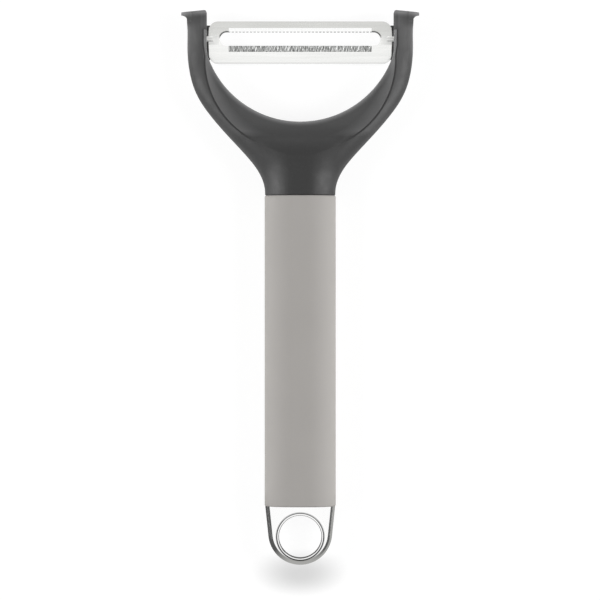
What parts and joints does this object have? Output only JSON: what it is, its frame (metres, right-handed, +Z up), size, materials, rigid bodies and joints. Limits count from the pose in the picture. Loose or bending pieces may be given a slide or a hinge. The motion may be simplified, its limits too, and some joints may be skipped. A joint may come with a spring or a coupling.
{
  "type": "vegetable peeler",
  "caption": "Y-shaped vegetable peeler with a toothed swivel blade held between the arms of a moulded yoke, a soft oval grip and a polished hanging eye.",
  "frame": {"origin": "on the resting plane, below the middle of the outline, with the peeler lying on its back", "axes": "+X across the yoke along the blade, +Y along the handle from the hanging eye to the blade, +Z up through the depth, towards the viewer of the picture"},
  "size_m": [0.0816, 0.1899, 0.0186],
  "materials": {
    "yoke_plastic": "fine satin moulded charcoal",
    "blade_steel": "satin stainless steel with ground bevels",
    "grip_rubber": "matte soft-touch warm light grey",
    "core_plastic": "plain moulded",
    "pin_steel": "plain turned steel",
    "eye_metal": "mirror polished"
  },
  "bodies": {
    "handle": {"yoke": "yoke_plastic", "grip_sleeve": "grip_rubber", "handle_core": "core_plastic", "cross_pins": "pin_steel", "hanging_eye": "eye_metal", "eyelet": "eye_metal"},
    "blade": {"blade": "blade_steel"}
  },
  "joints": [
    {"name": "blade_swivel", "type": "hinge", "parent": "handle", "child": "blade", "pos_m": [0, 0.0852, 0.0093], "axis": [1, 0, 0], "range_deg": [-22, 22]}
  ]
}
